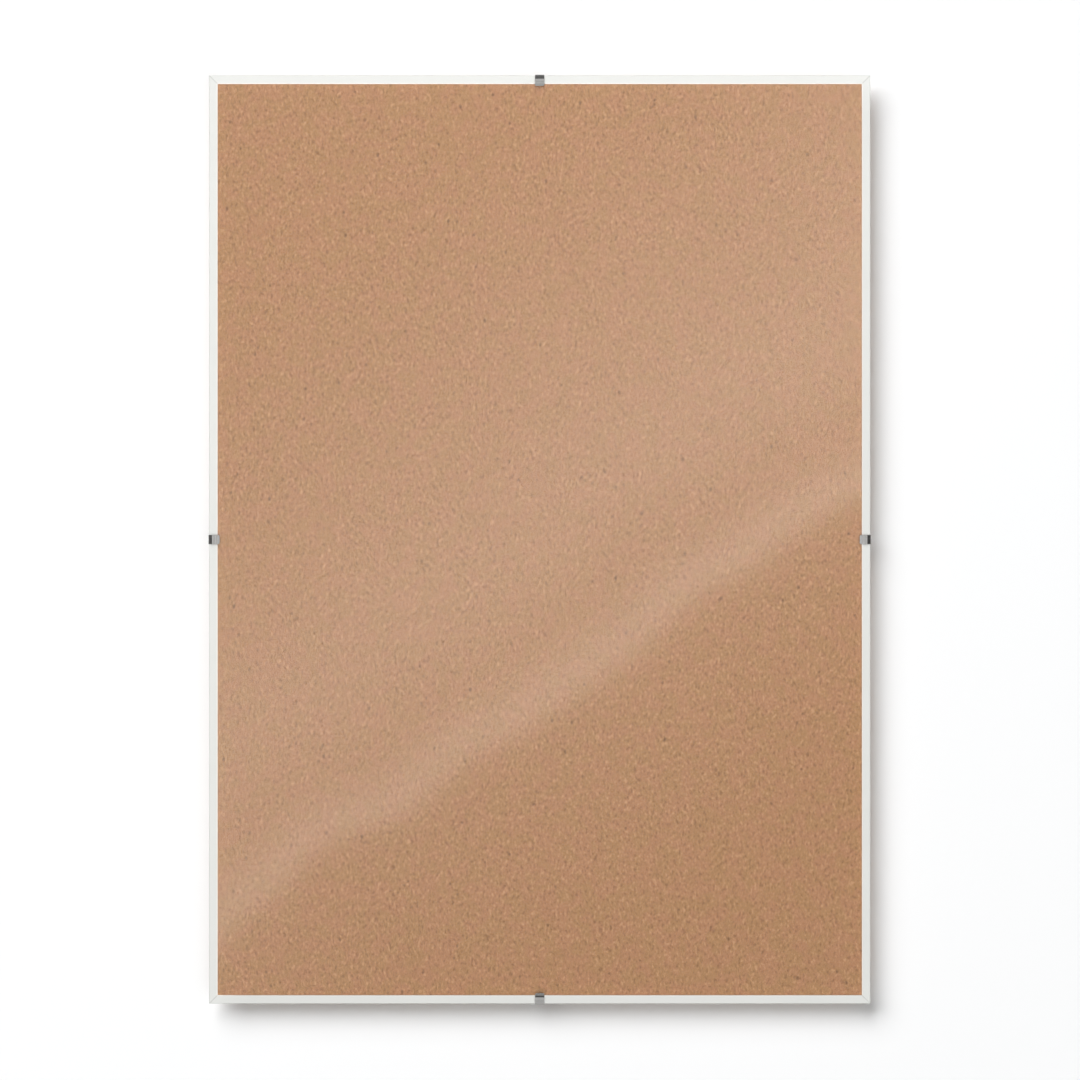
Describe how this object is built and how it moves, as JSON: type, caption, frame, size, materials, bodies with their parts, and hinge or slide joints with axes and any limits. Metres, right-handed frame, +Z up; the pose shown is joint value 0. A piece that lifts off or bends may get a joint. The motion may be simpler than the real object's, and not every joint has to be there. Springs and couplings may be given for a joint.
{
  "type": "clip frame",
  "caption": "Frameless picture frame for a wall: a bevelled glass pane on a hardboard back, held by bent spring clips, with hinged wire hangers behind",
  "frame": {"origin": "middle of the whole frame: half way across its width, height and depth", "axes": "+Z up the frame as it hangs, -Y out of the front of the glass, +X to the right seen from the front"},
  "size_m": [0.432, 0.0104, 0.606],
  "materials": {
    "glass": "clear float glass with a satin-ground bevel",
    "hardboard": "raw pressed fibreboard, fine mottled fibre",
    "clip_steel": "polished nickel-plated spring steel",
    "hanger_steel": "zinc-plated pressed steel",
    "ring_wire": "zinc-plated drawn wire"
  },
  "bodies": {
    "back": {"glass_pane": "glass", "back_board": "hardboard", "hanger_plate_top": "hanger_steel", "hanger_plate_side": "hanger_steel"},
    "top_clip": {"clip_top": "clip_steel"},
    "bottom_clip": {"clip_bottom": "clip_steel"},
    "left_clip": {"clip_left": "clip_steel"},
    "right_clip": {"clip_right": "clip_steel"},
    "top_ring": {"hanger_ring_top": "ring_wire"},
    "side_ring": {"hanger_ring_side": "ring_wire"}
  },
  "joints": [
    {"name": "clip_top_slide", "type": "slide", "parent": "back", "child": "top_clip", "axis": [0, 0, 1], "range_m": [0, 0.008]},
    {"name": "clip_bottom_slide", "type": "slide", "parent": "back", "child": "bottom_clip", "axis": [0, 0, -1], "range_m": [0, 0.008]},
    {"name": "clip_left_slide", "type": "slide", "parent": "back", "child": "left_clip", "axis": [-1, 0, 0], "range_m": [0, 0.008]},
    {"name": "clip_right_slide", "type": "slide", "parent": "back", "child": "right_clip", "axis": [1, 0, 0], "range_m": [0, 0.008]},
    {"name": "ring_top_hinge", "type": "hinge", "parent": "back", "child": "top_ring", "pos_m": [0, 0.00305, 0.2325], "axis": [-1, 0, 0], "range_deg": [0, 170]},
    {"name": "ring_side_hinge", "type": "hinge", "parent": "back", "child": "side_ring", "pos_m": [0.1455, 0.00305, 0], "axis": [0, 0, 1], "range_deg": [0, 170]}
  ]
}
